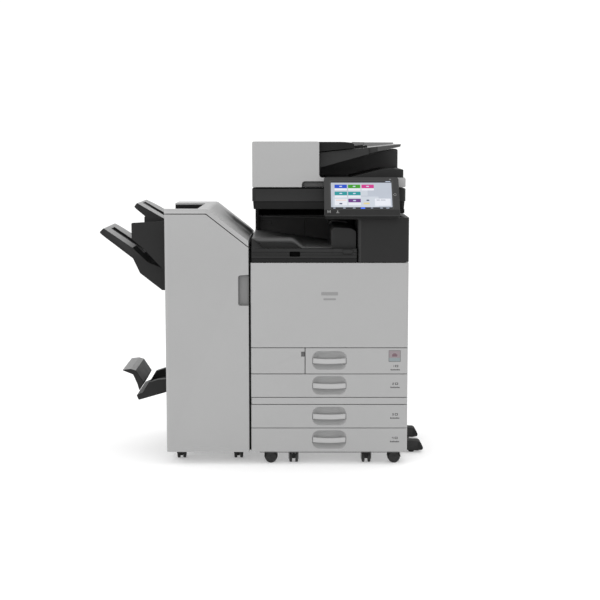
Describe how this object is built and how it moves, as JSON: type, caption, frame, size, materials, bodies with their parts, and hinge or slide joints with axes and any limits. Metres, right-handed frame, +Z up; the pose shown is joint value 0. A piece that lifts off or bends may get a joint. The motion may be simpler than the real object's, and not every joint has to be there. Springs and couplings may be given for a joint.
{
  "type": "photocopier",
  "caption": "Office photocopier with document feeder, tilting touch panel, four paper drawers, in-body exit tray and a docked booklet finisher on casters.",
  "frame": {"origin": "on the floor, under the middle of the whole machine's bounding box", "axes": "+X to the machine's right as an operator sees it, +Y towards the back, +Z up"},
  "size_m": [1.24, 0.685, 1.21],
  "materials": {
    "light_cover": "fine-textured light grey moulded plastic",
    "dark_cover": "fine-textured charcoal moulded plastic",
    "tray_plastic": "ribbed mid-grey moulded plastic",
    "black_plastic": "smooth black plastic",
    "frame_metal": "satin light grey paint",
    "fuser_metal": "satin sheet steel",
    "platen_glass": "clear flat glass",
    "caster_tread": "dull black rubber"
  },
  "bodies": {
    "cabinet": {"main_frame": "frame_metal", "left_cover": "light_cover", "rear_cover": "light_cover", "right_upper_cover": "dark_cover", "exit_tray": "dark_cover", "scanner_unit": "dark_cover", "platen_glass": "platen_glass", "imaging_unit": "black_plastic", "fuser_unit": "fuser_metal", "bank_frame": "frame_metal", "stabiliser_foot_front": "black_plastic", "stabiliser_foot_rear": "black_plastic", "finisher_frame": "frame_metal", "proof_tray": "tray_plastic", "exit_guard": "dark_cover", "booklet_tray": "dark_cover"},
    "front_door": {"front_door": "light_cover"},
    "waste_toner_cover": {"waste_toner_cover": "light_cover"},
    "right_door": {"right_door": "light_cover"},
    "bypass_tray": {"bypass_tray": "light_cover"},
    "operation_panel": {"operation_panel": "black_plastic"},
    "feeder": {"feeder_base": "dark_cover", "feeder_front_cover": "light_cover", "document_tray": "dark_cover"},
    "feed_cover": {"feed_cover": "light_cover", "pickup_cover": "dark_cover"},
    "document_tray_flap": {"document_tray_flap": "tray_plastic"},
    "document_guide_front": {"document_guide_front": "black_plastic"},
    "document_guide_rear": {"document_guide_rear": "black_plastic"},
    "scan_carriage": {"scan_carriage": "black_plastic"},
    "finisher_door": {"finisher_door": "light_cover"},
    "finisher_top_cover": {"finisher_top_cover": "light_cover"},
    "shift_tray": {"shift_tray": "tray_plastic"},
    "booklet_flap": {"booklet_flap": "dark_cover"},
    "support_wheel_left": {"support_wheel_left": "caster_tread"},
    "support_wheel_right": {"support_wheel_right": "caster_tread"},
    "paper_drawer_1": {"paper_drawer_1": "light_cover", "drawer_grip_1": "light_cover"},
    "paper_drawer_2": {"paper_drawer_2": "light_cover", "drawer_grip_2": "light_cover"},
    "paper_drawer_3": {"paper_drawer_3": "light_cover", "drawer_grip_3": "light_cover"},
    "paper_drawer_4": {"paper_drawer_4": "light_cover", "drawer_grip_4": "light_cover"},
    "bank_front_left_caster": {"bank_front_left_fork": "black_plastic"},
    "bank_front_left_wheel": {"bank_front_left_wheel": "caster_tread"},
    "bank_front_right_caster": {"bank_front_right_fork": "black_plastic"},
    "bank_front_right_wheel": {"bank_front_right_wheel": "caster_tread"},
    "bank_rear_left_caster": {"bank_rear_left_fork": "black_plastic"},
    "bank_rear_left_wheel": {"bank_rear_left_wheel": "caster_tread"},
    "bank_rear_right_caster": {"bank_rear_right_fork": "black_plastic"},
    "bank_rear_right_wheel": {"bank_rear_right_wheel": "caster_tread"},
    "finisher_front_left_caster": {"finisher_front_left_fork": "black_plastic"},
    "finisher_front_left_wheel": {"finisher_front_left_wheel": "caster_tread"},
    "finisher_front_right_caster": {"finisher_front_right_fork": "black_plastic"},
    "finisher_front_right_wheel": {"finisher_front_right_wheel": "caster_tread"},
    "finisher_rear_left_caster": {"finisher_rear_left_fork": "black_plastic"},
    "finisher_rear_left_wheel": {"finisher_rear_left_wheel": "caster_tread"},
    "finisher_rear_right_caster": {"finisher_rear_right_fork": "black_plastic"},
    "finisher_rear_right_wheel": {"finisher_rear_right_wheel": "caster_tread"}
  },
  "joints": [
    {"name": "front_door_hinge", "type": "hinge", "parent": "cabinet", "child": "front_door", "pos_m": [0.248, -0.2935, 0.452], "axis": [1, 0, 0], "range_deg": [0, 90]},
    {"name": "waste_cover_hinge", "type": "hinge", "parent": "cabinet", "child": "waste_toner_cover", "pos_m": [-0.038, -0.2915, 0.397], "axis": [0, 0, -1], "range_deg": [0, 85]},
    {"name": "right_door_hinge", "type": "hinge", "parent": "cabinet", "child": "right_door", "pos_m": [0.534, 0.0225, 0.256], "axis": [0, 1, 0], "range_deg": [0, 35]},
    {"name": "bypass_tray_hinge", "type": "hinge", "parent": "right_door", "child": "bypass_tray", "pos_m": [0.533, -0.0075, 0.471], "axis": [0, 1, 0], "range_deg": [0, 75]},
    {"name": "panel_tilt", "type": "hinge", "parent": "cabinet", "child": "operation_panel", "pos_m": [0.366, -0.2755, 0.962], "axis": [1, 0, 0], "range_deg": [0, 25]},
    {"name": "feeder_lift", "type": "hinge", "parent": "cabinet", "child": "feeder", "pos_m": [0.248, 0.3205, 1.0405], "axis": [-1, 0, 0], "range_deg": [0, 60]},
    {"name": "feed_cover_hinge", "type": "hinge", "parent": "feeder", "child": "feed_cover", "pos_m": [-0.041, 0.0785, 1.1183], "axis": [0, -1, 0], "range_deg": [0, 60]},
    {"name": "tray_flap_hinge", "type": "hinge", "parent": "feeder", "child": "document_tray_flap", "pos_m": [0.3985, 0.0775, 1.1886], "axis": [0, -1, 0], "range_deg": [0, 100]},
    {"name": "guide_front_slide", "type": "slide", "parent": "feeder", "child": "document_guide_front", "axis": [0, 1, 0], "range_m": [0, 0.12]},
    {"name": "guide_rear_slide", "type": "slide", "parent": "feeder", "child": "document_guide_rear", "axis": [0, 1, 0], "range_m": [-0.12, 0]},
    {"name": "scan_carriage_slide", "type": "slide", "parent": "cabinet", "child": "scan_carriage", "axis": [1, 0, 0], "range_m": [0, 0.38]},
    {"name": "drawer_1_slide", "type": "slide", "parent": "cabinet", "child": "paper_drawer_1", "axis": [0, -1, 0], "range_m": [0, 0.4]},
    {"name": "drawer_2_slide", "type": "slide", "parent": "cabinet", "child": "paper_drawer_2", "axis": [0, -1, 0], "range_m": [0, 0.4]},
    {"name": "drawer_3_slide", "type": "slide", "parent": "cabinet", "child": "paper_drawer_3", "axis": [0, -1, 0], "range_m": [0, 0.4]},
    {"name": "drawer_4_slide", "type": "slide", "parent": "cabinet", "child": "paper_drawer_4", "axis": [0, -1, 0], "range_m": [0, 0.4]},
    {"name": "finisher_door_hinge", "type": "hinge", "parent": "cabinet", "child": "finisher_door", "pos_m": [-0.358, -0.2935, 0.5], "axis": [0, 0, -1], "range_deg": [0, 100]},
    {"name": "finisher_cover_hinge", "type": "hinge", "parent": "cabinet", "child": "finisher_top_cover", "pos_m": [-0.208, 0.3155, 0.946], "axis": [-1, 0, 0], "range_deg": [0, 45]},
    {"name": "shift_tray_slide", "type": "slide", "parent": "cabinet", "child": "shift_tray", "axis": [0, 0, 1], "range_m": [-0.3, 0]},
    {"name": "booklet_flap_hinge", "type": "hinge", "parent": "cabinet", "child": "booklet_flap", "pos_m": [-0.474, -0.0375, 0.266], "axis": [0, -1, 0], "range_deg": [0, 30]},
    {"name": "bank_front_left_swivel", "type": "hinge", "parent": "cabinet", "child": "bank_front_left_caster", "pos_m": [0.012, -0.2515, 0.05], "axis": [0, 0, 1], "continuous": true},
    {"name": "bank_front_left_spin", "type": "hinge", "parent": "bank_front_left_caster", "child": "bank_front_left_wheel", "pos_m": [0.028, -0.2515, 0.022], "axis": [0, 1, 0], "continuous": true},
    {"name": "bank_front_right_swivel", "type": "hinge", "parent": "cabinet", "child": "bank_front_right_caster", "pos_m": [0.478, -0.2515, 0.05], "axis": [0, 0, 1], "continuous": true},
    {"name": "bank_front_right_spin", "type": "hinge", "parent": "bank_front_right_caster", "child": "bank_front_right_wheel", "pos_m": [0.494, -0.2515, 0.022], "axis": [0, 1, 0], "continuous": true},
    {"name": "bank_rear_left_swivel", "type": "hinge", "parent": "cabinet", "child": "bank_rear_left_caster", "pos_m": [0.012, 0.2775, 0.05], "axis": [0, 0, 1], "continuous": true},
    {"name": "bank_rear_left_spin", "type": "hinge", "parent": "bank_rear_left_caster", "child": "bank_rear_left_wheel", "pos_m": [0.012, 0.2935, 0.022], "axis": [1, 0, 0], "continuous": true},
    {"name": "bank_rear_right_swivel", "type": "hinge", "parent": "cabinet", "child": "bank_rear_right_caster", "pos_m": [0.484, 0.2775, 0.05], "axis": [0, 0, 1], "continuous": true},
    {"name": "bank_rear_right_spin", "type": "hinge", "parent": "bank_rear_right_caster", "child": "bank_rear_right_wheel", "pos_m": [0.484, 0.2935, 0.022], "axis": [1, 0, 0], "continuous": true},
    {"name": "finisher_front_left_swivel", "type": "hinge", "parent": "cabinet", "child": "finisher_front_left_caster", "pos_m": [-0.317, -0.1975, 0.05], "axis": [0, 0, 1], "continuous": true},
    {"name": "finisher_front_left_spin", "type": "hinge", "parent": "finisher_front_left_caster", "child": "finisher_front_left_wheel", "pos_m": [-0.317, -0.1815, 0.022], "axis": [1, 0, 0], "continuous": true},
    {"name": "finisher_front_right_swivel", "type": "hinge", "parent": "cabinet", "child": "finisher_front_right_caster", "pos_m": [-0.098, -0.1975, 0.05], "axis": [0, 0, 1], "continuous": true},
    {"name": "finisher_front_right_spin", "type": "hinge", "parent": "finisher_front_right_caster", "child": "finisher_front_right_wheel", "pos_m": [-0.098, -0.1815, 0.022], "axis": [1, 0, 0], "continuous": true},
    {"name": "finisher_rear_left_swivel", "type": "hinge", "parent": "cabinet", "child": "finisher_rear_left_caster", "pos_m": [-0.317, 0.2425, 0.05], "axis": [0, 0, 1], "continuous": true},
    {"name": "finisher_rear_left_spin", "type": "hinge", "parent": "finisher_rear_left_caster", "child": "finisher_rear_left_wheel", "pos_m": [-0.317, 0.2585, 0.022], "axis": [1, 0, 0], "continuous": true},
    {"name": "finisher_rear_right_swivel", "type": "hinge", "parent": "cabinet", "child": "finisher_rear_right_caster", "pos_m": [-0.098, 0.2425, 0.05], "axis": [0, 0, 1], "continuous": true},
    {"name": "finisher_rear_right_spin", "type": "hinge", "parent": "finisher_rear_right_caster", "child": "finisher_rear_right_wheel", "pos_m": [-0.098, 0.2585, 0.022], "axis": [1, 0, 0], "continuous": true},
    {"name": "support_wheel_left_spin", "type": "hinge", "parent": "cabinet", "child": "support_wheel_left", "pos_m": [0.114, -0.2495, 0.022], "axis": [1, 0, 0], "continuous": true},
    {"name": "support_wheel_right_spin", "type": "hinge", "parent": "cabinet", "child": "support_wheel_right", "pos_m": [0.389, -0.2495, 0.022], "axis": [1, 0, 0], "continuous": true}
  ],
  "couplings": [
    {"joint": "guide_rear_slide", "follows": "guide_front_slide", "ratio": -1}
  ]
}
